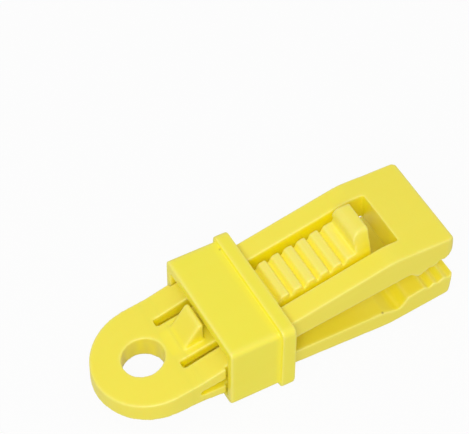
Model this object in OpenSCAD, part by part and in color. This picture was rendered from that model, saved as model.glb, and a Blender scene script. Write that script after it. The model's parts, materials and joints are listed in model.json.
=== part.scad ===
// Tarp clip: a moulded spring clip for sheets, with an eyelet tail, two toothed jaws,
// a ratchet tongue with a thumb nub, and a collar that slides forward to close the jaws.
// +X runs from the tail to the jaws and +Z is up. The clip lies on its collar with the jaws
// open, and the origin is at the middle of its underside.
// Side outlines are drawn from the hinge line, at the blunt end of the split between the arms:
// x is measured from that line and z from the middle of the split.

/* [Tail] */
// Length of the tail, from the hinge line to its round end
tail_l = 18.9; // [17:0.1:26]
// Radius of the tail's round end, and half the width of the neck behind the collar
tail_r = 13.3; // [12.8:0.1:15]
// Thickness of the tail at its end
tail_end_t = 4.5; // [3.5:0.1:6]
// How far the middle of the tail's end hangs below the split
tail_drop = 1.8; // [0:0.1:3]
// Radius of the eyelet
eyelet_r = 4.8; // [3:0.1:6]
// Distance from the tail's end to the middle of the eyelet
eyelet_back = 11.6; // [10:0.1:13]

/* [Arms] */
// Width of both arms ahead of the neck
arm_w = 25.3; // [22:0.1:25.6]
// Length of the upper arm, from the hinge line to its jaw's tip
upper_l = 64.3; // [60:0.1:75]
// Length of the lower arm, from the hinge line to its jaw's tip
lower_l = 64.3; // [60:0.1:75]
// Distance from the hinge line to the bend in the arms' outer faces
bend_l = 48; // [44:0.5:52]
// Width of the split at its blunt end
split_t = 1.4; // [0.8:0.1:2.5]
// Thickness of the upper arm and the tongue at the hinge line
upper_root_t = 2.8; // [2:0.1:3.6]
// Thickness of the lower arm at the hinge line
lower_root_t = 2.1; // [1.6:0.1:3]
// Height of the upper arm's bend above the split
upper_bend_z = 15.9; // [14:0.1:18]
// Fall of the upper arm's outer face from its bend to its tip
upper_tip_fall = 0.4; // [0:0.1:2]
// Depth of the lower arm's bend below the split
lower_bend_z = 6; // [5:0.1:8]
// Rise of the lower arm's outer face from its bend to its tip
lower_tip_rise = 2.4; // [1:0.1:3.5]
// Slope of the upper arm's outer face ahead of the collar, in degrees
upper_slope = 13; // [11:0.5:15]
// Slope of the upper arm's inner face, in degrees
upper_inner_slope = 8.7; // [8:0.1:10]
// Slope of the lower arm's outer face ahead of the collar, in degrees
lower_slope = 2.5; // [1:0.1:4]
// Slope of the lower arm's inner face, in degrees
lower_inner_slope = 0.4; // [0:0.1:2]
// Radius of the bend in the outer faces
bend_r = 14; // [2:1:25]
// How far the upper jaw's tip stands out at its teeth, past its outer edge
upper_tip_lean = 1; // [0:0.1:1.6]
// How far the lower jaw's tip stands out at its teeth, past its outer edge
lower_tip_lean = 0.8; // [0:0.1:1.6]
// Radius of the upper jaw tip's corners, seen from above
upper_tip_r = 2.6; // [1:0.1:5]
// Radius of the lower jaw tip's corners, seen from above
lower_tip_r = 0.9; // [0.6:0.1:4]
// Radius of the jaw tips' edges, seen from the side
tip_edge_r = 0.8; // [0.3:0.1:1.5]

/* [Jaws] */
// Thickness of the upper jaw at its tip
upper_tip_t = 5.3; // [4:0.1:6.5]
// Distance from the upper jaw's tip back to its cross ridge
ridge_back = 9.4; // [8:0.1:12]
// Height of the cross ridge over the upper arm's inner face
ridge_h = 2; // [1:0.1:2.4]
// Length of the ridge's flat crest
ridge_l = 0.9; // [0.5:0.1:2]
// Length of the ridge's flank on the tail side
ridge_flank_l = 1.9; // [1:0.1:3]
// Distance from the lower jaw's tip back to its pocket
pocket_back = 17.9; // [16:0.1:20]
// Length of the pocket's sloping floor
pocket_l = 4.2; // [3:0.1:6]
// Depth of the pocket below the lower arm's inner face
pocket_depth = 1.2; // [0.6:0.1:2]
// Radius of the hollow between the pocket's floor and its wall
pocket_r = 1.6; // [0.5:0.1:3]
// Length of the pocket's wall, towards the tip
pocket_wall_l = 1.9; // [1:0.1:3]
// Height of the pocket's wall over the lower arm's inner face
pocket_wall_h = 1.7; // [1:0.1:2.2]
// Height of the lower jaw's first tooth over the lower arm's inner face
gum_rise = 2.7; // [2:0.1:3]
// Rise of the lower teeth from the first one to the tip
gum_tilt = 1.3; // [0:0.1:2]
// Length of the slope from the pocket's wall up to the first lower tooth
gum_slope_l = 4.4; // [3:0.1:6]
// Least pitch of the jaw teeth
jaw_pitch = 2.4; // [1.8:0.1:3.4]
// Height of the jaw teeth
jaw_tooth_h = 0.7; // [0.3:0.05:1]
// Length of each jaw tooth's steep face
jaw_steep_l = 1; // [0.3:0.1:1.4]
// Height of the lower jaw's last tooth as a share of the others
last_tooth_share = 0.3; // [0:0.05:1]

/* [Ratchet tongue] */
// Width of the tongue
tongue_w = 10.9; // [8:0.1:12]
// Width of the slits beside the tongue
slit_w = 1.9; // [1:0.1:2.4]
// How far the slits run into the tail, from the hinge line
slit_back = 1.7; // [1.6:0.1:3]
// Thickness of the tongue under the nub
tongue_tip_t = 2.6; // [2:0.1:3.2]
// Depth of the last tooth's crest below the upper arm's outer face
crest_drop = 0.4; // [0.2:0.1:1.2]
// Pitch of the ratchet teeth
ratchet_pitch = 3.27; // [2.6:0.01:4]
// Number of ratchet teeth
ratchet_count = 7; // [4:1:8]
// Height of the ratchet teeth
ratchet_h = 1.5; // [0.8:0.1:2]
// Length of a ratchet tooth's flat crest
ratchet_crest_l = 1.9; // [0.8:0.05:2.1]
// Length of a ratchet tooth's ramp, which faces the tail
ratchet_ramp_l = 0.9; // [0.4:0.05:1]
// Length of a ratchet tooth's steep face, which faces the jaws
ratchet_steep_l = 0.25; // [0.1:0.05:0.4]
// Distance from the bend back to the nub's face on the jaw side
nub_back = 1.5; // [0.5:0.1:3]
// Length of the thumb nub
nub_l = 4; // [3:0.1:6]
// Width of the thumb nub at its top; its foot is as wide as the tongue
nub_w = 8.2; // [6:0.1:9]
// Radius of the nub's top corners at its sides
nub_side_r = 1.4; // [0.5:0.1:2]
// Height of the thumb nub over the upper arm's outer face
nub_h = 4.6; // [3:0.1:6]
// Radius of the nub's top edge on the tail side
nub_r = 2.2; // [0.5:0.1:2.6]
// How far the nub's top leans towards the tail
nub_lean = 0.5; // [0:0.1:1.5]
// Free length of the window between the nub and the upper jaw
window_gap = 5.4; // [4.4:0.1:7]

/* [Collar stop] */
// Width of the wedge on the tongue that holds the collar back
wedge_w = 6.2; // [4:0.1:8]
// Length of the wedge
wedge_l = 5.2; // [4:0.1:5.4]
// Length of the wedge's top
wedge_top_l = 0.9; // [0.5:0.1:1.5]
// Height by which the wedge covers the collar's edge
wedge_bite = 1.1; // [0.6:0.1:1.6]
// Radius of the hollow at the foot of the wedge's ramp
wedge_hollow_r = 4; // [1:0.5:6]
// Gap between the wedge and the collar
wedge_gap = 1; // [0.3:0.1:1.2]
// Gap between the neck's shoulders and the collar
stop_gap = 0.35; // [0.2:0.05:0.6]

/* [Collar] */
// Distance from the hinge line to the collar
collar_x = 6.3; // [5.8:0.1:8]
// Length of the collar's plain band
band_l = 12.1; // [10:0.1:14]
// Length of the lip at the jaw end
lip_l = 3.3; // [2:0.1:4.5]
// How far the lip stands out of the band
lip_out = 0.9; // [0.4:0.1:1.5]
// Thickness of the collar's side walls
side_wall = 2.1; // [1.4:0.1:3]
// Thickness of the collar's roof at the jaw end of the band
roof_wall = 1.3; // [1:0.1:2]
// Thickness of the collar's floor
floor_wall = 1.25; // [1:0.05:2]
// Narrowing of the collar's opening from the jaw end to the tail end
opening_taper = 1.6; // [0.4:0.1:2]
// Radius of the collar's long corners
collar_r = 1.2; // [0.4:0.1:2]

/* [Clearances] */
// Gap between the arms and the collar's side walls
side_gap = 0.35; // [0.2:0.05:0.6]
// Gap between the upper arm and the collar's roof
roof_gap = 0.35; // [0.3:0.05:0.6]
// Gap between the lower arm and the collar's floor
floor_gap = 0.25; // [0.2:0.05:0.5]
// Gap round the rolled hinge ends of the arms and the tongue
hinge_gap = 0.08; // [0.05:0.01:0.1]

/* [Hidden] */
$fn = 64;

// Overrun of every cut past the face that it opens
overrun = 1;
// Straight pieces in one rounded corner, and round the tail's end
corner_steps = 6;
round_steps = 56;
yellow = [0.94, 0.88, 0.22];
deep_yellow = [0.95, 0.89, 0.25];

upper_hinge_z = (split_t + upper_root_t) / 2;
lower_hinge_z = -(split_t + lower_root_t) / 2;
root_top_z = split_t / 2 + upper_root_t;
root_bottom_z = -split_t / 2 - lower_root_t;

neck_w = max(2 * tail_r, arm_w);
shoulder_x = collar_x - stop_gap;
collar_l = band_l + lip_l;
collar_end_x = collar_x + collar_l;

upper_tip_z = upper_bend_z - upper_tip_fall;
lower_tip_z = -lower_bend_z + lower_tip_rise;
upper_knee_z = upper_bend_z - (bend_l - collar_end_x) * tan(upper_slope);
lower_knee_z = -lower_bend_z + (bend_l - collar_end_x) * tan(lower_slope);

opening_roof_z = upper_knee_z + roof_gap;
opening_floor_z = lower_knee_z - floor_gap;
opening_w = arm_w + 2 * side_gap;
collar_top_z = opening_roof_z + roof_wall;
collar_bottom_z = opening_floor_z - floor_wall;
collar_w = opening_w + 2 * side_wall;
wedge_top_z = opening_roof_z - opening_taper + wedge_bite;

window_w = tongue_w + 2 * slit_w;
nub_x = bend_l - nub_back;
window_x = nub_x + window_gap;
tongue_top_z = upper_bend_z - nub_back * tan(upper_slope) - crest_drop - ratchet_h;

underside_z = collar_bottom_z - lip_out;
middle_x = (max(upper_l, lower_l) - tail_l) / 2;

// Heights of the straight faces at a place along the clip
function along(x, from, to) = from.y + (to.y - from.y) * (x - from.x) / (to.x - from.x);
function upper_inner_z(x) = split_t / 2 + x * tan(upper_inner_slope);
function lower_inner_z(x) = -split_t / 2 - x * tan(lower_inner_slope);
function upper_outer_z(x) = upper_bend_z - (bend_l - x) * tan(upper_slope);
function tongue_z(x) = along(x, [0, root_top_z], [nub_x, tongue_top_z]);

// A corner of an outline as an arc, its radius limited by the two sides that meet there
function unit(v) = v / norm(v);
function corner_arc(a, b, c, r) =
    let (u = unit(a - b),
         v = unit(c - b),
         half = acos(u * v) / 2,
         fit_r = min(r, tan(half) * min(norm(a - b), norm(c - b)) / 2),
         centre = b + unit(u + v) * fit_r / sin(half),
         start = b + u * fit_r / tan(half) - centre,
         end = b + v * fit_r / tan(half) - centre,
         first = atan2(start.y, start.x),
         turn = (atan2(end.y, end.x) - first + 540) % 360 - 180)
    [for (i = [0:corner_steps])
        centre + fit_r * [cos(first + turn * i / corner_steps), sin(first + turn * i / corner_steps)]];

// An outline from [x, z, corner radius] points
function flat(p) = [p.x, p.y];
function rounded(points) =
    let (n = len(points))
    [for (i = [0:n - 1])
        each points[i].z > 0
            ? corner_arc(flat(points[(i + n - 1) % n]), flat(points[i]),
                         flat(points[(i + 1) % n]), points[i].z)
            : [flat(points[i])]];

// Saw teeth along a line: each rises gently towards the tip and drops back in a steep face;
// the last one can be lower than the others
function saw_teeth(from, to, last_share = 1) =
    let (count = floor((to.x - from.x) / jaw_pitch),
         pitch = (to.x - from.x) / count)
    [for (k = [0:count - 1])
        let (foot_x = from.x + k * pitch,
             crest_x = foot_x + pitch - jaw_steep_l,
             height = k < count - 1 ? jaw_tooth_h : jaw_tooth_h * last_share)
        each [[foot_x, along(foot_x, from, to), 0],
              [crest_x, along(crest_x, from, to) + height, 0]]];

// The lower jaw's line: a pocket with a steep wall, a slope up to the first tooth, and a last tooth
// that ends at the tip
pocket_x = lower_l - pocket_back;
pocket_z = lower_inner_z(pocket_x) - pocket_depth;
pocket_end_x = pocket_x + pocket_l;
pocket_wall_x = pocket_end_x + pocket_wall_l;
gum_x = pocket_wall_x + gum_slope_l;
gum_z = lower_inner_z(pocket_x) + gum_rise;
lower_tooth_z = gum_z - jaw_tooth_h;
lower_teeth = saw_teeth([gum_x + jaw_steep_l, lower_tooth_z],
                        [lower_l + jaw_steep_l, lower_tooth_z + gum_tilt], last_tooth_share);

// The upper jaw's line runs from the ridge's crest to the tip
ridge_x = upper_l - ridge_back;
ridge_z = upper_inner_z(ridge_x) - ridge_h;
upper_jaw_z = upper_tip_z - upper_tip_t;
ridge_front = [ridge_x + ridge_l / 2, ridge_z];
upper_jaw_tip = [upper_l, upper_jaw_z];
ridge_foot_x = ridge_x - ridge_l / 2 - ridge_flank_l;

upper_outline = rounded(concat(
    [[0, split_t / 2, 0],
     [ridge_foot_x, upper_inner_z(ridge_foot_x), ridge_flank_l / 2],
     [ridge_x - ridge_l / 2, ridge_z, ridge_l / 2]],
    saw_teeth(ridge_front, upper_jaw_tip),
    [[upper_l, upper_jaw_z, tip_edge_r],
     [upper_l - upper_tip_lean, upper_tip_z, tip_edge_r],
     [bend_l, upper_bend_z, bend_r],
     [collar_end_x, upper_knee_z, 0],
     [0, root_top_z, 0]]));

lower_outline = rounded(concat(
    [[0, -split_t / 2, 0],
     [pocket_x, lower_inner_z(pocket_x), pocket_r],
     [pocket_end_x, pocket_z, pocket_r],
     [pocket_wall_x, lower_inner_z(pocket_x) + pocket_wall_h, pocket_r / 2],
     [gum_x, gum_z, 0]],
    lower_teeth,
    [[lower_l - lower_tip_lean, lower_tip_z, tip_edge_r],
     [bend_l, -lower_bend_z, bend_r],
     [collar_end_x, lower_knee_z, 0],
     [0, root_bottom_z, 0]]));

// The tail's outline from above: a round end, and sides that run off it to the neck's corners
function tail_plan() =
    let (round_x = tail_r - tail_l,
         corner = [-round_x, neck_w / 2],
         leave = atan2(corner.y, corner.x) + acos(min(1, tail_r / norm(corner))))
    concat([[0, neck_w / 2]],
           [for (i = [0:round_steps])
               let (a = leave + (360 - 2 * leave) * i / round_steps)
               [round_x + tail_r * cos(a), tail_r * sin(a)]],
           [[0, -neck_w / 2]]);

// A side outline made solid across the clip
module slab(outline, width) {
    rotate([90, 0, 0])
        linear_extrude(height = width, center = true)
            polygon(outline);
}

// A round bar across the clip on a hinge line
module hinge_bar(z, radius, width) {
    translate([0, 0, z])
        rotate([90, 0, 0])
            cylinder(r = radius, h = width, center = true);
}

// The arms' outline from above: a wide neck, straight sides and two rounded corners at the tips
module arm_plan(length, tip_r) {
    side = arm_w / 2;
    translate([-upper_root_t, -neck_w / 2])
        square([upper_root_t + shoulder_x, neck_w]);
    translate([0, -side])
        square([length - tip_r, arm_w]);
    translate([length - 2 * tip_r, tip_r - side])
        square([2 * tip_r, arm_w - 2 * tip_r]);
    for (end = [-1, 1])
        translate([length - tip_r, end * (side - tip_r)])
            circle(r = tip_r);
}

// Everything between the lowest and the highest face of the clip, in the outline from above
module arm_column(length, tip_r) {
    translate([0, 0, underside_z])
        linear_extrude(height = upper_bend_z + nub_h - underside_z)
            arm_plan(length, tip_r);
}

// A rounded bar along the clip, as high and wide as the collar's band or lip
module collar_bar(x, length, grow) {
    width = collar_w + 2 * grow;
    height = collar_top_z - collar_bottom_z + 2 * grow;
    r = collar_r + grow / 2;
    translate([x, 0, (collar_top_z + collar_bottom_z) / 2])
        rotate([90, 0, 90])
            linear_extrude(height = length) {
                square([width - 2 * r, height], center = true);
                square([width, height - 2 * r], center = true);
                for (y = [-1, 1], z = [-1, 1])
                    translate([y * (width / 2 - r), z * (height / 2 - r)])
                        circle(r = r);
            }
}

// The two slits that free the tongue, from the tail to any place ahead
module slits(from_x, to_x) {
    for (side = [-1, 1])
        translate([from_x, side * (tongue_w + slit_w) / 2 - slit_w / 2, split_t / 2])
            cube([to_x - from_x, slit_w, upper_bend_z]);
}

module tail_eyelet() {
    end_top_z = -tail_drop + tail_end_t / 2;
    end_bottom_z = -tail_drop - tail_end_t / 2;
    side = [[0, root_top_z], [0, root_bottom_z], [-tail_l, end_bottom_z], [-tail_l, end_top_z]];
    color(yellow)
        difference() {
            intersection() {
                slab(side, 2 * neck_w);
                translate([0, 0, underside_z])
                    linear_extrude(height = upper_bend_z - underside_z)
                        polygon(tail_plan());
            }
            translate([eyelet_back - tail_l, 0, underside_z])
                cylinder(r = eyelet_r, h = upper_bend_z - underside_z);
            hinge_bar(upper_hinge_z, upper_root_t / 2 + hinge_gap, 2 * neck_w);
            hinge_bar(lower_hinge_z, lower_root_t / 2 + hinge_gap, 2 * neck_w);
            slits(-slit_back, overrun);
        }
}

module upper_arm() {
    color(yellow)
        difference() {
            intersection() {
                union() {
                    slab(upper_outline, neck_w);
                    hinge_bar(upper_hinge_z, upper_root_t / 2, neck_w);
                }
                arm_column(upper_l, upper_tip_r);
            }
            translate([-upper_root_t, -window_w / 2, -overrun])
                cube([window_x + upper_root_t, window_w, upper_bend_z + 2 * overrun]);
        }
}

module lower_arm() {
    color(yellow)
        intersection() {
            union() {
                slab(lower_outline, neck_w);
                hinge_bar(lower_hinge_z, lower_root_t / 2, neck_w);
            }
            arm_column(lower_l, lower_tip_r);
        }
}

// The tongue's side outline: a straight strip with saw teeth whose ramps face the tail
module tongue_strip() {
    nub_tail_x = nub_x - nub_l;
    last_crest_x = nub_tail_x - ratchet_steep_l;
    teeth = [for (k = [ratchet_count - 1:-1:0])
        let (steep_x = last_crest_x - k * ratchet_pitch,
             crest_x = steep_x - ratchet_crest_l,
             foot_x = crest_x - ratchet_ramp_l)
        each [[foot_x, tongue_z(foot_x), 0],
              [crest_x, tongue_z(crest_x) + ratchet_h, ratchet_steep_l],
              [steep_x, tongue_z(steep_x) + ratchet_h, ratchet_steep_l],
              [steep_x + ratchet_steep_l, tongue_z(steep_x + ratchet_steep_l), 0]]];
    slab(rounded(concat(
        [[0, split_t / 2, 0], [0, root_top_z, 0]],
        teeth,
        [[nub_x, tongue_top_z, 0],
         [nub_x, tongue_top_z - tongue_tip_t, 0]])), tongue_w);
}

// The nub's outline from the side, cut to its outline from the jaws, which narrows towards the top
module thumb_nub() {
    top_z = upper_outer_z(nub_x) + nub_h;
    foot_z = tongue_z(nub_x - nub_l) - tongue_tip_t / 2;
    intersection() {
        slab(rounded([
            [nub_x - nub_l, foot_z, 0],
            [nub_x - nub_l - nub_lean, top_z - nub_lean, nub_r],
            [nub_x - nub_lean, top_z, nub_r / 4],
            [nub_x, foot_z, 0]]), tongue_w);
        translate([nub_x - 2 * nub_l, 0, 0])
            rotate([90, 0, 90])
                linear_extrude(height = 3 * nub_l)
                    polygon(rounded([
                        [-tongue_w / 2, foot_z, 0],
                        [-tongue_w / 2, tongue_top_z, 0],
                        [-nub_w / 2, top_z, nub_side_r],
                        [nub_w / 2, top_z, nub_side_r],
                        [tongue_w / 2, tongue_top_z, 0],
                        [tongue_w / 2, foot_z, 0]]));
    }
}

module stop_wedge() {
    face_x = collar_x - wedge_gap;
    foot_x = face_x - wedge_l;
    hollow_x = foot_x + wedge_top_l;
    slab(rounded([
        [face_x, tongue_z(face_x) - upper_root_t / 2, 0],
        [foot_x, tongue_z(foot_x) - upper_root_t / 2, 0],
        [foot_x, tongue_z(foot_x), 0],
        [hollow_x, tongue_z(hollow_x), wedge_hollow_r],
        [face_x - wedge_top_l, wedge_top_z, wedge_top_l / 3],
        [face_x, wedge_top_z - wedge_top_l / 4, wedge_top_l / 3]]), wedge_w);
}

module ratchet_tongue() {
    color(yellow) {
        tongue_strip();
        thumb_nub();
        stop_wedge();
        hinge_bar(upper_hinge_z, upper_root_t / 2, tongue_w);
    }
}

module locking_collar() {
    opening = [[collar_x - overrun, opening_floor_z],
               [collar_x - overrun, opening_roof_z - opening_taper],
               [collar_x, opening_roof_z - opening_taper],
               [collar_end_x, opening_roof_z],
               [collar_end_x + overrun, opening_roof_z],
               [collar_end_x + overrun, opening_floor_z]];
    color(deep_yellow)
        difference() {
            union() {
                collar_bar(collar_x, collar_l, 0);
                collar_bar(collar_x + band_l, lip_l, lip_out);
            }
            slab(opening, opening_w);
        }
}

// From the hinge line to the middle of the underside
module seat() {
    translate([-middle_x, 0, -underside_z])
        children();
}

seat() tail_eyelet();
seat() upper_arm();
seat() lower_arm();
seat() ratchet_tongue();
seat() locking_collar();
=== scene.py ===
# %% [markdown]
# # A tarp clip in yellow plastic
# The clip is two mouldings: a springy body with an eyelet, two toothed arms and a ratchet tongue, and a
# collar that slides along the arms and squeezes them shut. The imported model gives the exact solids. Here
# they are softened into moulded plastic, given a finish, and lit for a picture.

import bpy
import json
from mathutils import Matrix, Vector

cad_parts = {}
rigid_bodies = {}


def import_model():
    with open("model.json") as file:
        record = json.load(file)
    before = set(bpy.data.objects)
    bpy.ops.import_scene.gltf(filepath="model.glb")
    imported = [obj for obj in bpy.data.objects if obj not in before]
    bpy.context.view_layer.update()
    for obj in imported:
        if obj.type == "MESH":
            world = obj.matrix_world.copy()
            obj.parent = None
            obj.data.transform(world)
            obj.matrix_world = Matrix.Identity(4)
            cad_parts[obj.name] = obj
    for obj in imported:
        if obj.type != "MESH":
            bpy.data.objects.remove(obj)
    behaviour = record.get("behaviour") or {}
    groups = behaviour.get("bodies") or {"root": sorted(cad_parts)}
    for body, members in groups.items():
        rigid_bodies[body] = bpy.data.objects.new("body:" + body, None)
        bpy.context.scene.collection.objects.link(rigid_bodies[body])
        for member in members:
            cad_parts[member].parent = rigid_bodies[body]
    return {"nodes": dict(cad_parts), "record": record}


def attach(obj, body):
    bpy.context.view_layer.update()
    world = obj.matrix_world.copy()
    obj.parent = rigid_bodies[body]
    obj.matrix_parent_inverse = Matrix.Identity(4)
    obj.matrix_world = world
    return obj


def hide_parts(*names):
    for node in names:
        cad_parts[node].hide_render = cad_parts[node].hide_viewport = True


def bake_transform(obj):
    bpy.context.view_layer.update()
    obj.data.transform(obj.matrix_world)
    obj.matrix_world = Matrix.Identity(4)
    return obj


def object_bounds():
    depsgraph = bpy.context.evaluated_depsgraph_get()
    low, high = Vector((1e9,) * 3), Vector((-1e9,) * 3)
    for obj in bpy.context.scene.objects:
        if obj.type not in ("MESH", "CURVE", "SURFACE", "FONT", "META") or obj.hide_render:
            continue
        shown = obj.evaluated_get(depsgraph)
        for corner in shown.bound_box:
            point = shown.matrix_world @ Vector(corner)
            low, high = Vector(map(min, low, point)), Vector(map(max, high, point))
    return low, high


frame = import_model()
cad_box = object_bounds()
print("nodes:", sorted(frame["nodes"]))

# %% [markdown]
# The body bends at thin living hinges beside the split between its arms. All places below are measured in
# millimetres from there: x runs from the hinge line towards the jaws, z from the middle of the split. The
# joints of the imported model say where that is.

# %% A ruler that starts at the hinge line
import bmesh
import bpy
import json
from math import radians, tan
from mathutils import Matrix, Vector

MM = 0.001
joints = {joint["name"]: joint for joint in frame["record"]["behaviour"]["joints"]}
upper_hinge = Vector(joints["upper_arm_flex"]["pos_m"])
lower_hinge = Vector(joints["lower_arm_flex"]["pos_m"])
split_t = 1.4
upper_root_t = 2.8
lower_root_t = 2.1
hinge_line = upper_hinge - Vector((0, 0, (split_t + upper_root_t) / 2)) * MM


def place(x, y, z):
    """A point of the clip's own ruler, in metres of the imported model."""
    return hinge_line + Vector((x, y, z)) * MM


def ruler(point):
    """The same the other way round: metres to the clip's own millimetres."""
    return (point - hinge_line) / MM


print("hinge line at", [round(c, 5) for c in hinge_line])

# %% [markdown]
# Node trees are easier to read as sums than as lists of links. One small class wraps a socket, so that
# `1 - mask * 0.3` adds the Math nodes by itself, and another adds any other kind of node: its settings
# first, then the values or links of its sockets.

# %% Helpers for node trees
class Value:
    """A socket that takes part in sums; every operation adds one Math node."""

    def __init__(self, tree, socket):
        self.tree = tree
        self.socket = socket

    def math(self, operation, first, second):
        node = self.tree.add("ShaderNodeMath", {"operation": operation}, {0: first, 1: second})
        return node.out(0)

    def __add__(self, other):
        return self.math("ADD", self, other)

    def __radd__(self, other):
        return self.math("ADD", other, self)

    def __sub__(self, other):
        return self.math("SUBTRACT", self, other)

    def __rsub__(self, other):
        return self.math("SUBTRACT", other, self)

    def __mul__(self, other):
        return self.math("MULTIPLY", self, other)

    def __rmul__(self, other):
        return self.math("MULTIPLY", other, self)


class Added:
    """A node that was added, and its outputs as values."""

    def __init__(self, tree, node):
        self.tree = tree
        self.node = node

    def out(self, key):
        return Value(self.tree, self.node.outputs[key])


class Tree:
    """A node tree with one method that adds a node."""

    def __init__(self, nodes):
        self.nodes = nodes

    def add(self, kind, settings=None, sockets=None):
        node = self.nodes.nodes.new(kind)
        for key, setting in (settings or {}).items():
            setattr(node, key, setting)
        for key, value in (sockets or {}).items():
            if isinstance(value, Value):
                self.nodes.links.new(value.socket, node.inputs[key])
            else:
                node.inputs[key].default_value = value
        return Added(self, node)


print("helpers ready")

# %% [markdown]
# ## The ratchet teeth
# Seven equal teeth run along the tongue. Each is a ramp that the collar rides up, a flat crest, and a steep
# face that holds it. They could be copied by hand, but a Geometry Nodes tree keeps them a rule: one tooth
# outline, swept across the tongue and set on a row of points. The whole row is then sheared, because the
# tongue climbs while its teeth stay upright.

# %% A Geometry Nodes tree for a row of teeth
corner_points = 3


def tooth_row_tree():
    group = bpy.data.node_groups.new("tooth_row", "GeometryNodeTree")
    group.interface.new_socket("Geometry", in_out="OUTPUT", socket_type="NodeSocketGeometry")
    group.interface.new_socket("Count", in_out="INPUT", socket_type="NodeSocketInt")
    for name in ("Pitch", "Width", "Height", "Crest", "Ramp", "Steep", "Sunk", "Round", "Climb"):
        group.interface.new_socket(name, in_out="INPUT", socket_type="NodeSocketFloat")
    group.interface.new_socket("Material", in_out="INPUT", socket_type="NodeSocketMaterial")
    tree = Tree(group)
    size = tree.add("NodeGroupInput").out

    def point(x, depth):
        return tree.add("ShaderNodeCombineXYZ", {}, {"X": x, "Y": depth}).out(0)

    crest_start = 0 - size("Crest") - size("Steep")
    outline = tree.add("GeometryNodeCurvePrimitiveQuadrilateral", {"mode": "POINTS"}, {
        "Point 1": point(crest_start - size("Ramp"), size("Sunk")),
        "Point 2": point(crest_start, 0 - size("Height")),
        "Point 3": point(0 - size("Steep"), 0 - size("Height")),
        "Point 4": point(0, size("Sunk"))})
    soft = tree.add("GeometryNodeFilletCurve", {"mode": "POLY"}, {
        "Curve": outline.out(0), "Count": corner_points, "Radius": size("Round"), "Limit Radius": True})
    across = tree.add("GeometryNodeCurvePrimitiveLine", {"mode": "DIRECTION"}, {
        "Start": tree.add("ShaderNodeCombineXYZ", {}, {"Y": size("Width") * -0.5}).out(0),
        "Direction": (0, 1, 0), "Length": size("Width")})
    upright = tree.add("GeometryNodeSetCurveNormal", {"mode": "Z_UP"}, {"Curve": across.out(0)})
    tooth = tree.add("GeometryNodeCurveToMesh", {}, {
        "Curve": upright.out(0), "Profile Curve": soft.out(0), "Fill Caps": True})
    step = tree.add("ShaderNodeCombineXYZ", {}, {"X": size("Pitch")}).out(0)
    row = tree.add("GeometryNodeMeshLine", {}, {"Count": size("Count"), "Offset": step})
    teeth = tree.add("GeometryNodeInstanceOnPoints", {}, {
        "Points": row.out(0), "Instance": tooth.out(0)})
    real = tree.add("GeometryNodeRealizeInstances", {}, {"Geometry": teeth.out(0)})
    spot = tree.add("ShaderNodeSeparateXYZ", {}, {0: tree.add("GeometryNodeInputPosition").out(0)})
    lift = tree.add("ShaderNodeCombineXYZ", {}, {"Z": spot.out("X") * size("Climb")}).out(0)
    sheared = tree.add("GeometryNodeSetPosition", {}, {"Geometry": real.out(0), "Offset": lift})
    painted = tree.add("GeometryNodeSetMaterial", {}, {
        "Geometry": sheared.out(0), "Material": size("Material")})
    tree.add("NodeGroupOutput", {}, {0: painted.out(0)})
    return group


tooth_row = tooth_row_tree()
print("tree:", tooth_row.name, "with", len(tooth_row.nodes), "nodes")

# %% [markdown]
# A modifier's input is set by the socket's identifier, before the object is first evaluated. The evaluated
# result is then copied into a plain mesh and the modifier goes, so that later steps meet only a mesh.

# %% Settle modifiers into a plain mesh
def settle(piece):
    """The evaluated shape becomes the piece's own mesh, and its modifiers go."""
    bpy.context.view_layer.update()
    evaluated = piece.evaluated_get(bpy.context.evaluated_depsgraph_get())
    mesh = bpy.data.meshes.new_from_object(evaluated)
    spent = piece.data
    piece.modifiers.clear()
    piece.data = mesh
    bpy.data.meshes.remove(spent)
    return piece


def new_piece(name, mesh):
    mesh.name = name
    piece = bpy.data.objects.new(name, mesh)
    bpy.context.scene.collection.objects.link(piece)
    return piece


def edit(piece, change):
    """Opens the piece's mesh for a change and closes it again."""
    opened = bmesh.new()
    opened.from_mesh(piece.data)
    change(opened)
    opened.to_mesh(piece.data)
    opened.free()
    return piece


def discard(piece):
    mesh = piece.data
    bpy.data.objects.remove(piece)
    bpy.data.meshes.remove(mesh)


print("settle, new_piece, edit and discard ready")

# %% [markdown]
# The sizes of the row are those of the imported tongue, in millimetres. The last tooth leans against the thumb
# nub, and the row runs back from there under the collar's lip.

# %% Seven teeth on the tongue
tongue_w = 10.9
nub_x = 46.5
nub_l = 4.0
tongue_root_z = split_t / 2 + upper_root_t
tongue_tip_z = 13.6537
climb = (tongue_tip_z - tongue_root_z) / nub_x
clip_yellow = bpy.data.materials.new("clip_yellow")
ratchet = {"Count": 7, "Pitch": 3.27, "Width": tongue_w, "Height": 1.5, "Crest": 1.9, "Ramp": 0.9,
           "Steep": 0.25, "Sunk": 0.4, "Round": 0.5, "Climb": climb, "Material": clip_yellow}


def tongue_z(x):
    """Height of the tongue's face between its teeth."""
    return tongue_root_z + climb * x


teeth = new_piece("ratchet_teeth", bpy.data.meshes.new("ratchet_teeth"))
modifier = teeth.modifiers.new("teeth", "NODES")
modifier.node_group = tooth_row
for item in tooth_row.interface.items_tree:
    if item.name in ratchet:
        modifier[item.identifier] = ratchet[item.name]
settle(teeth)
first_steep_x = nub_x - nub_l - (ratchet["Count"] - 1) * ratchet["Pitch"]
teeth.data.transform(Matrix.Translation(Vector((first_steep_x, 0, tongue_z(first_steep_x)))))
teeth.data.transform(Matrix.Translation(hinge_line) @ Matrix.Scale(MM, 4))
edit(teeth, lambda opened: bmesh.ops.recalc_face_normals(opened, faces=opened.faces))
print("teeth:", len(teeth.data.polygons), "faces")

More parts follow.
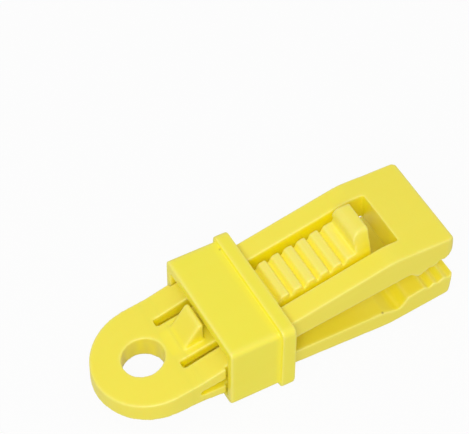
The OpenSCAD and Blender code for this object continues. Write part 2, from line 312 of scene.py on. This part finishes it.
# %% [markdown]
# ## One moulding again
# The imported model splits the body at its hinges, because simulated pieces are rigid. The real one is a
# single moulding. Copies of the four solids are joined here with plugs that fill the hinge gaps. A copy of
# a solid is loose triangles, so its doubles are merged first; the Manifold solver then needs closed meshes
# and gives a closed mesh back.

# %% Copies of the solids
merge_distance = 0.002 * MM


def merge_doubles(opened):
    bmesh.ops.remove_doubles(opened, verts=opened.verts, dist=merge_distance)


def solid_copy(node):
    piece = new_piece(node + "_copy", frame["nodes"][node].data.copy())
    piece.data.materials.clear()
    return edit(piece, merge_doubles)


def combine(piece, operation, tool):
    """A Boolean of two closed meshes; the tool is used up."""
    boolean = piece.modifiers.new("combine", "BOOLEAN")
    boolean.operation = operation
    boolean.solver = "MANIFOLD"
    boolean.object = tool
    settle(piece)
    discard(tool)
    return piece


body = solid_copy("tail_eyelet")
for node in ("upper_arm", "lower_arm"):
    combine(body, "UNION", solid_copy(node))
print("tail and arms:", len(body.data.polygons), "faces")

# %% [markdown]
# A plug is a bar of four-cornered cross sections. The same bar, made long, planes the plain teeth off the
# tongue's copy before the row from the node tree takes their place.

# %% Bars from cross sections
def bar(name, sections):
    """A closed bar through sections of x, lowest and highest y, lowest and highest z."""
    opened = bmesh.new()
    rings = []
    for x, y0, y1, z0, z1 in sections:
        corners = ((y0, z0), (y1, z0), (y1, z1), (y0, z1))
        rings.append([opened.verts.new(place(x, y, z)) for y, z in corners])
    opened.faces.new(rings[0])
    opened.faces.new(rings[-1])
    for ring, following in zip(rings, rings[1:]):
        for i in range(4):
            j = (i + 1) % 4
            opened.faces.new((ring[i], ring[j], following[j], following[i]))
    bmesh.ops.recalc_face_normals(opened, faces=opened.faces)
    mesh = bpy.data.meshes.new(name)
    opened.to_mesh(mesh)
    opened.free()
    return new_piece(name, mesh)


tongue = solid_copy("ratchet_tongue")
teeth_x = (first_steep_x - ratchet["Pitch"], nub_x - nub_l)
plane = bar("plane", [(x, -tongue_w, tongue_w, tongue_z(x), tongue_z(x) + nub_l) for x in teeth_x])
combine(tongue, "DIFFERENCE", plane)
combine(tongue, "UNION", teeth)
combine(body, "UNION", tongue)
print("body with tongue:", len(body.data.polygons), "faces")

# %% [markdown]
# The plugs follow the clip's outer faces, so nothing shows where they end. There are three on the upper side,
# because the slits beside the tongue stay open. Two short bars then close the slits where the real ones stop.

# %% Plugs in the hinge gaps
neck_w = 26.6
window_w = 14.7
tail_l = 18.9
tail_end_top_z = 0.45
tail_end_bottom_z = -4.05
upper_bend = (48, 15.9)
lower_bend = (48, -6)
upper_slope = tan(radians(13))
lower_slope = tan(radians(2.5))
knee_x = 21.7
plug_x = (-1.6, 0, 0.5)
plug_edge = 0.55
split_rise = 0.5


def between(x, start, end):
    return start[1] + (end[1] - start[1]) * (x - start[0]) / (end[0] - start[0])


def top_z(x):
    root = (0, tongue_root_z)
    knee = (knee_x, upper_bend[1] - (upper_bend[0] - knee_x) * upper_slope)
    return between(x, root, knee) if x > 0 else between(x, root, (-tail_l, tail_end_top_z))


def bottom_z(x):
    root = (0, -split_t / 2 - lower_root_t)
    knee = (knee_x, lower_bend[1] + (lower_bend[0] - knee_x) * lower_slope)
    return between(x, root, knee) if x > 0 else between(x, root, (-tail_l, tail_end_bottom_z))


def upper_plug(y0, y1):
    sections = [(x, y0, y1, plug_edge + split_rise * max(0, x), top_z(x)) for x in plug_x]
    combine(body, "UNION", bar("plug", sections))


upper_plug(-neck_w / 2, -window_w / 2)
upper_plug(-tongue_w / 2, tongue_w / 2)
upper_plug(window_w / 2, neck_w / 2)
lower_sections = [(x, -neck_w / 2, neck_w / 2, bottom_z(x), -plug_edge) for x in plug_x]
combine(body, "UNION", bar("plug", lower_sections))
slit_end_x = (-1.8, -1.2)
for side in (-1, 1):
    slit_y = sorted((side * tongue_w / 2, side * window_w / 2))
    combine(body, "UNION", bar("slit_end", [(x, *slit_y, plug_edge, top_z(x)) for x in slit_end_x]))
print("one moulding:", len(body.data.polygons), "faces")

# %% [markdown]
# ## Soft edges
# A moulded part seldom has a sharp edge, because round ones let the melt flow and crack less easily.
# Bevelling every edge of this shape could stumble over its small teeth. Remesh rebuilds the surface from
# small voxels instead, and a few rounds of smoothing pull the edges in while flat faces stay flat.

# %% Remesh and smooth
voxel = 0.25 * MM
smooth_factor = 0.5
body_rounds = 6
collar_rounds = 9


def soften(piece, rounds):
    remesh = piece.modifiers.new("voxels", "REMESH")
    remesh.mode = "VOXEL"
    remesh.voxel_size = voxel
    smooth = piece.modifiers.new("round", "SMOOTH")
    smooth.factor = smooth_factor
    smooth.iterations = rounds
    return settle(piece)


soften(body, body_rounds)
print("softened body:", len(body.data.polygons), "faces")

# %% [markdown]
# The wedge that holds the collar back runs out into the tongue without an edge, so it gets a few rounds
# more. Only the vertices in a box round it take part. Smoothing shrinks so small a shape, and the real wedge
# looks a little broader than the solid. So it is stretched before those rounds: its vertices move along the
# tongue's face, those around it less and less.

# %% A softer wedge
wedge_start_x = -0.6
wedge_end_x = 5.9
wedge_side_y = 4.6
wedge_rounds = 8
stretch_middle_x = 2.6
stretch_x = 0.2
stretch_y = 0.13
stretch_full_x, stretch_end_x = 2.7, 4.4
stretch_full_y, stretch_end_y = 3.2, 5.2
face_depth = upper_root_t / 4


def above_face(spot):
    """True on the tongue's face and on what stands on it."""
    return spot.z > tongue_z(spot.x) - face_depth


def fade(distance, full, end):
    """1 up to the distance full, 0 from the distance end on."""
    return min(1, max(0, (end - distance) / (end - full)))


def stretch_wedge(opened):
    for vert in opened.verts:
        spot = ruler(vert.co)
        from_middle = spot.x - stretch_middle_x
        share = fade(abs(from_middle), stretch_full_x, stretch_end_x)
        share *= fade(abs(spot.y), stretch_full_y, stretch_end_y)
        if share and above_face(spot):
            move_x = from_middle * stretch_x * share
            vert.co = place(spot.x + move_x, spot.y * (1 + stretch_y * share), spot.z + climb * move_x)


def in_wedge_box(vert):
    spot = ruler(vert.co)
    inside = wedge_start_x < spot.x < wedge_end_x and abs(spot.y) < wedge_side_y
    return inside and above_face(spot)


def soften_wedge(opened):
    wedge = [vert for vert in opened.verts if in_wedge_box(vert)]
    every_way = {"use_axis_x": True, "use_axis_y": True, "use_axis_z": True}
    for _ in range(wedge_rounds):
        bmesh.ops.smooth_vert(opened, verts=wedge, factor=smooth_factor, **every_way)
    print("wedge:", len(wedge), "vertices")


edit(body, stretch_wedge)
edit(body, soften_wedge)

# %% [markdown]
# ## Painted highlights on the edges
# The edges of the clip look paler than its faces, because their rounding catches the light. Here that
# highlight is painted, as a paler colour. The mesh can tell where its edges are: a vertex there stands
# out over its neighbours. This is measured while the moulding is still whole, spread a little, and kept as an
# attribute that the finish reads later.

# %% Measure where the edges are
import numpy as np

edge_spread = 3


def spots_of(mesh):
    """All vertices as an array with a row of x, y, z for each."""
    spots = np.empty(3 * len(mesh.vertices), dtype=np.float32)
    mesh.vertices.foreach_get("co", spots)
    return spots.reshape(-1, 3)


def averager(mesh):
    """A function that gives each vertex the mean of its neighbours' values."""
    count = len(mesh.vertices)
    ends = np.empty(2 * len(mesh.edges), dtype=np.int32)
    mesh.edges.foreach_get("vertices", ends)
    one, other = ends[0::2], ends[1::2]
    neighbours = np.bincount(ends, minlength=count)

    def around(values):
        total = np.bincount(one, values[other], count) + np.bincount(other, values[one], count)
        return total / neighbours

    return around


def keep(mesh, name, values, around, rounds):
    """Spreads the values over their neighbours and keeps them as an attribute."""
    for _ in range(rounds):
        values = (values + around(values)) / 2
    attribute = mesh.attributes.new(name, "FLOAT", "POINT")
    attribute.data.foreach_set("value", values.astype(np.float32))
    return values


def mark_edges(piece):
    mesh = piece.data
    spots, around = spots_of(mesh), averager(mesh)
    normals = np.empty(3 * len(mesh.vertices), dtype=np.float32)
    mesh.vertex_normals.foreach_get("vector", normals)
    normals = normals.reshape(-1, 3)
    raised = [(spots[:, i] - around(spots[:, i])) * normals[:, i] for i in range(3)]
    # this is the mask of the painted highlight on the edges
    return keep(mesh, "edge", sum(raised) / voxel, around, edge_spread)


measured = mark_edges(body)
print("edge from", round(measured.min(), 3), "to", round(measured.max(), 3))

# %% [markdown]
# The ratchet teeth look paler all over, where they catch the light, and this is a painted highlight. A second
# attribute says how much: nothing on the wedge, all of it on the crests, less in the valleys.

# %% Mark the painted highlight on the teeth
teeth_highlight_start_x = 15
teeth_highlight_x = (teeth_highlight_start_x, first_steep_x - ratchet["Pitch"], nub_x - nub_l, nub_x)
teeth_highlight_along = (0, 1, 1, 0)
teeth_highlight_in_valley = 0.7
slit_middle_y = (tongue_w + window_w) / 4


def mark_teeth_highlight(piece):
    mesh = piece.data
    x, y, z = ((spots_of(mesh) - np.array(hinge_line)) / MM).T
    # painted highlight on the teeth: most on the crests, less in the valleys
    painted_teeth_highlight = np.interp(x, teeth_highlight_x, teeth_highlight_along) * np.clip(z - tongue_z(x) + teeth_highlight_in_valley, 0, 1)
    painted_teeth_highlight[np.abs(y) > slit_middle_y] = 0
    return keep(mesh, "painted_teeth_highlight", painted_teeth_highlight, averager(mesh), edge_spread)


print("rubbed vertices:", int((mark_teeth_highlight(body) > 0).sum()))

# %% [markdown]
# ## Painted light in the recesses
# Light deep in a slit bounces off yellow walls many times, and some passes through them, so it comes out
# gold. The finish paints this light in: a gold tint in the colour and a faint painted glow where a spot is
# enclosed. How enclosed it is can be measured with rays in twelve even directions: of those that lead away
# from the surface, count the ones that meet the moulding again within a few millimetres.

# %% Measure how enclosed each spot is
from mathutils.bvhtree import BVHTree

ray_reach = 4 * MM
ray_lift = 0.05 * MM
least_rise = 0.1
recess_spread = 6
ball = bmesh.new()
bmesh.ops.create_icosphere(ball, subdivisions=1, radius=1)
directions = [vert.co.normalized() for vert in ball.verts]
ball.free()


def enclosed(vert, walls):
    start = vert.co + vert.normal * ray_lift
    rays = [ray for ray in directions if ray.dot(vert.normal) > least_rise]
    hits = [ray for ray in rays if walls.ray_cast(start, ray, ray_reach)[0]]
    return len(hits) / len(rays)


def mark_recesses(piece):
    opened = bmesh.new()
    opened.from_mesh(piece.data)
    walls = BVHTree.FromBMesh(opened)
    shares = np.array([enclosed(vert, walls) for vert in opened.verts])
    opened.free()
    # this share is the mask of the painted gold light and glow in the recesses
    return keep(piece.data, "painted_recess_light", shares, averager(piece.data), recess_spread)


print("enclosed up to", round(mark_recesses(body).max(), 2))

# %% [markdown]
# ## Cut at the hinges
# At a pose the tail, the arms and the tongue turn. So the moulding is cut into pieces again, just outside
# the thin skins between them. Each cut is a Boolean with a box, which leaves closed pieces whose cut faces
# lie hidden against each other.

# %% Boxes that divide the moulding
skin_start_x = -1.9
skin_end_x = 0.7
reach = 90


def carve(name, x0, x1, z0=-reach, z1=reach):
    piece = new_piece(name, body.data.copy())
    return combine(piece, "INTERSECT", bar("box", [(x, -reach, reach, z0, z1) for x in (x0, x1)]))


clip_tail = carve("clip_tail", -reach, skin_start_x)
hinge_skin_upper = carve("hinge_skin_upper", skin_start_x, skin_end_x, 0)
hinge_skin_lower = carve("hinge_skin_lower", skin_start_x, skin_end_x, -reach, 0)
arms = carve("arms", skin_end_x, reach)
discard(body)
for piece in (clip_tail, hinge_skin_upper, hinge_skin_lower):
    print(piece.name, len(piece.data.polygons), "faces")

# %% [markdown]
# Past the hinge the two arms and the tongue no longer touch, so they are told apart as islands of the mesh:
# the lower arm lies under the split, and the tongue is the narrow island between the slits.

# %% Three islands
def islands(opened):
    """Groups of vertices that edges join."""
    left = set(opened.verts)
    while left:
        seed = left.pop()
        island, rim = {seed}, [seed]
        while rim:
            for edge in rim.pop().link_edges:
                for vert in edge.verts:
                    if vert in left:
                        left.remove(vert)
                        island.add(vert)
                        rim.append(vert)
        yield island


def island_name(island):
    spots = [ruler(vert.co) for vert in island]
    if min(spot.z for spot in spots) < 0:
        return "lower_arm_dressed"
    wide = max(spot.y for spot in spots) > window_w / 2
    return "upper_arm_dressed" if wide else "tongue_dressed"


def keep_island(name):
    piece = new_piece(name, arms.data.copy())

    def drop_others(opened):
        others = [v for island in islands(opened) if island_name(island) != name for v in island]
        bmesh.ops.delete(opened, geom=others, context="VERTS")

    return edit(piece, drop_others)


upper_arm = keep_island("upper_arm_dressed")
lower_arm = keep_island("lower_arm_dressed")
tongue = keep_island("tongue_dressed")
discard(arms)
for piece in (upper_arm, lower_arm, tongue):
    print(piece.name, len(piece.data.polygons), "faces")

# %% [markdown]
# ## The collar
# The collar is a short tube with a lip at its jaw end. It needs no joining, only the same soft edges.

# %% Soften the collar
collar = soften(solid_copy("locking_collar"), collar_rounds)
collar.name = "collar_dressed"
mark_edges(collar)
mark_recesses(collar)
print(collar.name, len(collar.data.polygons), "faces")

# %% [markdown]
# ## Smooth shading, sharp cuts
# All faces are shaded smooth. Only edges that turn steeply, as the rims of the cuts do, stay sharp, so that
# the hidden cut faces don't darken the surface beside them.

# %% Shade the pieces
clip_pieces = [clip_tail, hinge_skin_upper, hinge_skin_lower, upper_arm, lower_arm, tongue]
rim_angle = radians(50)


def shade(opened):
    for face in opened.faces:
        face.smooth = True
    for edge in opened.edges:
        edge.smooth = edge.calc_face_angle(0) < rim_angle


for piece in clip_pieces + [collar]:
    edit(piece, shade)
print("shaded", len(clip_pieces) + 1, "pieces")

# %% [markdown]
# ## The plastic
# The clip is dyed through in a strong yellow and comes out of the mould with a satin skin. Slow noise shifts
# the dye by a shade, noise drawn out along the clip stands for the flow of the melt, and fine noise gives
# the skin its grain. Over the dye lie painted light and one dark speck on each moulding, perhaps a crumb of
# scorched plastic. The painted light is a gold tint of bounce light in the recesses, and a painted highlight
# that makes the teeth and the edges paler. Walls this thin let some light through. Most of it is left to a
# little subsurface scattering, and a faint painted glow stands for what reaches the recesses.

# %% Colours of the plastic
def linear(*srgb):
    """A colour as read from a picture, 0 to 255, as the linear colour that a shader takes."""
    parts = [c / 255 for c in srgb]
    return [c / 12.92 if c < 0.04045 else ((c + 0.055) / 1.055) ** 2.4 for c in parts] + [1]


black = linear(0, 0, 0)
# painted light: the gold of bounce light in the recesses, also the colour of their painted glow
painted_bounce_gold = linear(255, 240, 0)
# painted highlight: the paler colour of the edges and the teeth
painted_highlight = linear(252, 240, 128)
burnt = linear(112, 92, 20)
clip_clear, clip_deep = linear(250, 235, 64), linear(247, 229, 50)
collar_clear, collar_deep = linear(250, 238, 54), linear(247, 233, 42)
clip_flaw = place(46.1, -12.3, -1)
collar_flaw = place(18.2, 11.9, 11.4)
print("clip from", [round(c, 3) for c in clip_clear], "to", [round(c, 3) for c in clip_deep])

# %% The yellow finish
dye_scale, dye_detail = 90, 3
flow_scale, flow_detail = (60, 420, 420), 4
grain_scale, grain_detail = 2600, 2
dye_share = 0.7
# strength of the painted gold light in the recesses
recess_light_gain = 1.6
# strength of the painted highlight on the teeth
teeth_highlight_gain = 0.4
# strength of the painted highlight on the edges
edge_highlight_gain = 6
flaw_gain = 0.8
flaw_r = 0.45 * MM
grain_share = 0.6
bump = {"Strength": 0.12, "Distance": 0.04 * MM}
satin, grain_matt, flow_matt = 0.36, 0.06, 0.1
# the emission in this skin is a painted glow in the recesses, not a lamp
satin_skin_and_painted_glow = {"IOR": 1.49, "Specular IOR Level": 0.85, "Subsurface Weight": 0.15,
              "Subsurface Radius": (1, 0.5, 0.05), "Subsurface Scale": 1 * MM, "Emission Strength": 0.045}


def yellow_plastic(material, clear, deep, flaw):
    material.use_nodes = True
    material.node_tree.nodes.clear()
    tree = Tree(material.node_tree)
    spot = tree.add("ShaderNodeTexCoord").out("Object")

    def noise(where, scale, detail):
        return tree.add("ShaderNodeTexNoise", {}, {"Vector": where, "Scale": scale, "Detail": detail}).out(0)

    def kept(name):
        return tree.add("ShaderNodeAttribute", {"attribute_name": name}).out("Fac")

    def mix(factor, under, over):
        node = tree.add("ShaderNodeMix", {"data_type": "RGBA", "clamp_factor": True}, {
            "Factor": factor, 6: under, 7: over})
        return node.out(2)

    along_clip = tree.add("ShaderNodeMapping", {}, {"Vector": spot, "Scale": flow_scale}).out(0)
    dye = noise(spot, dye_scale, dye_detail)
    flow = noise(along_clip, 1, flow_detail)
    grain = noise(spot, grain_scale, grain_detail)
    from_flaw = tree.add("ShaderNodeVectorMath", {"operation": "DISTANCE"}, {0: spot, 1: flaw}).out("Value")
    # painted light: a gold tint and a painted glow where a spot is enclosed
    painted_recess_light = kept("painted_recess_light") * recess_light_gain
    colour = mix(dye * dye_share + flow * (1 - dye_share), clear, deep)
    colour = mix(painted_recess_light, colour, painted_bounce_gold)
    # painted highlight on the teeth
    colour = mix(kept("painted_teeth_highlight") * teeth_highlight_gain, colour, painted_highlight)
    # painted highlight on the edges
    colour = mix(kept("edge") * edge_highlight_gain, colour, painted_highlight)
    colour = mix(flaw_gain - from_flaw * (flaw_gain / flaw_r), colour, burnt)
    height = grain * grain_share + flow * (1 - grain_share)
    surface = tree.add("ShaderNodeBsdfPrincipled", {}, {
        "Base Color": colour, "Roughness": satin + grain * grain_matt + flow * flow_matt,
        "Normal": tree.add("ShaderNodeBump", {}, {"Height": height, **bump}).out(0),
        "Emission Color": mix(painted_recess_light, black, painted_bounce_gold), **satin_skin_and_painted_glow})
    tree.add("ShaderNodeOutputMaterial", {}, {"Surface": surface.out(0)})


collar_yellow = bpy.data.materials.new("collar_yellow")
yellow_plastic(clip_yellow, clip_clear, clip_deep, clip_flaw)
yellow_plastic(collar_yellow, collar_clear, collar_deep, collar_flaw)
for piece in clip_pieces + [collar]:
    piece.data.materials.clear()
    piece.data.materials.append(collar_yellow if piece == collar else clip_yellow)
print("finishes:", clip_yellow.name, collar_yellow.name)

# %% [markdown]
# ## What moves with what
# Each piece but the two skins rides on its body of the imported model and stands for its solid there.
# The two skins only have their places baked into their meshes.

# %% Ride and replace
riders = [(clip_tail, "tail", "tail_eyelet"), (upper_arm, "upper_arm", "upper_arm"),
          (lower_arm, "lower_arm", "lower_arm"), (tongue, "tongue", "ratchet_tongue"),
          (collar, "collar", "locking_collar")]
for piece, carrier, node in riders:
    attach(piece, carrier)
    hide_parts(node)
skins = [(hinge_skin_upper, "upper_arm", upper_hinge), (hinge_skin_lower, "lower_arm", lower_hinge)]
for skin, arm, hinge in skins:
    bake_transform(skin)

# %% [markdown]
# ## Floor, light and camera
# The picture is a plain studio one on white. The floor is a pale sheet that still takes the clip's shadow,
# and the world is white to the camera. To scattered light both are darker, so that the clip isn't flooded
# with light from all sides.

# %% A white floor and world
floor_half = 2.0
floor_grey = 0.62
floor_glow = 0.95
floor_shine = 0.8
ambient = 0.62
white = (1, 1, 1, 1)


def brightest(tree, first, second):
    return tree.add("ShaderNodeMath", {"operation": "MAXIMUM"}, {0: first, 1: second}).out(0)


def seen_directly(tree):
    """1 for a ray from the camera, off a shiny face or through a clear one; 0 for scattered light."""
    rays = tree.add("ShaderNodeLightPath")
    mirrored = brightest(tree, rays.out("Is Glossy Ray"), rays.out("Is Transmission Ray"))
    return brightest(tree, rays.out("Is Camera Ray"), mirrored)


def white_stage():
    mesh = bpy.data.meshes.new("floor")
    signs = ((-1, -1), (1, -1), (1, 1), (-1, 1))
    corners = [(x * floor_half, y * floor_half, 0) for x, y in signs]
    mesh.from_pydata(corners, [], [(0, 1, 2, 3)])
    floor = new_piece("floor", mesh)
    material = bpy.data.materials.new("white_sheet")
    material.use_nodes = True
    material.node_tree.nodes.clear()
    tree = Tree(material.node_tree)
    grey = (floor_grey, floor_grey, floor_grey, 1)
    sheet = tree.add("ShaderNodeBsdfDiffuse", {}, {"Color": grey}).out(0)
    glow = tree.add("ShaderNodeEmission", {}, {"Color": white, "Strength": 1}).out(0)
    rays = tree.add("ShaderNodeLightPath")
    seen = rays.out("Is Camera Ray") + rays.out("Is Glossy Ray") * floor_shine
    mixed = tree.add("ShaderNodeMixShader", {}, {0: seen * floor_glow, 1: sheet, 2: glow}).out(0)
    tree.add("ShaderNodeOutputMaterial", {}, {"Surface": mixed})
    mesh.materials.append(material)
    return floor


def white_world():
    world = bpy.data.worlds.new("white_room")
    world.use_nodes = True
    world.node_tree.nodes.clear()
    tree = Tree(world.node_tree)
    strength = ambient + seen_directly(tree) * (1 - ambient)
    sky = tree.add("ShaderNodeBackground", {}, {"Color": white, "Strength": strength})
    tree.add("ShaderNodeOutputWorld", {}, {"Surface": sky.out(0)})
    bpy.context.scene.world = world
    return world


floor = white_stage()
world = white_world()
print("stage:", floor.name, world.name)

# %% [markdown]
# One large soft lamp stands behind the camera, a little to its left. From there it reaches into the slits and
# the window, and the clip throws only a faint shadow.

# %% A soft lamp
lamp_watts = 2.05
lamp_size = 0.3
lamp_offset = Vector((-0.30, -0.40, 0.50))
centre = (cad_box[0] + cad_box[1]) / 2
light = bpy.data.lights.new("front_left", "AREA")
light.energy = lamp_watts
light.shape = "DISK"
light.size = lamp_size
lamp = bpy.data.objects.new("front_left", light)
lamp.location = centre + lamp_offset
lamp.rotation_euler = (-lamp_offset).to_track_quat("-Z", "Y").to_euler()
bpy.context.scene.collection.objects.link(lamp)
print("lamp aims at", [round(c, 4) for c in centre])

# %% [markdown]
# The camera stands where the photograph was taken from. Its place and its directions were worked out from
# the clip's edges in the picture, and its long lens keeps the far end about as large as the near one.

# %% The camera of the photograph
camera_right = Vector((0.87725, -0.48000, 0.00198))
camera_up = Vector((0.36468, 0.66917, 0.64746))
camera_back = Vector((-0.31210, -0.56728, 0.76208))
camera_place = Vector((-0.13671, -0.23483, 0.35928))
sensor_mm = 36
lens_mm = 153.59
lens = bpy.data.cameras.new("camera")
lens.sensor_width = sensor_mm
lens.lens = lens_mm
camera = bpy.data.objects.new("camera", lens)
turn = Matrix((camera_right, camera_up, camera_back)).transposed().to_4x4()
camera.matrix_world = Matrix.Translation(camera_place) @ turn
bpy.context.scene.collection.objects.link(camera)
bpy.context.scene.camera = camera
bpy.context.scene.view_settings.view_transform = "Standard"
print("camera", round(lens.lens, 1), "mm")
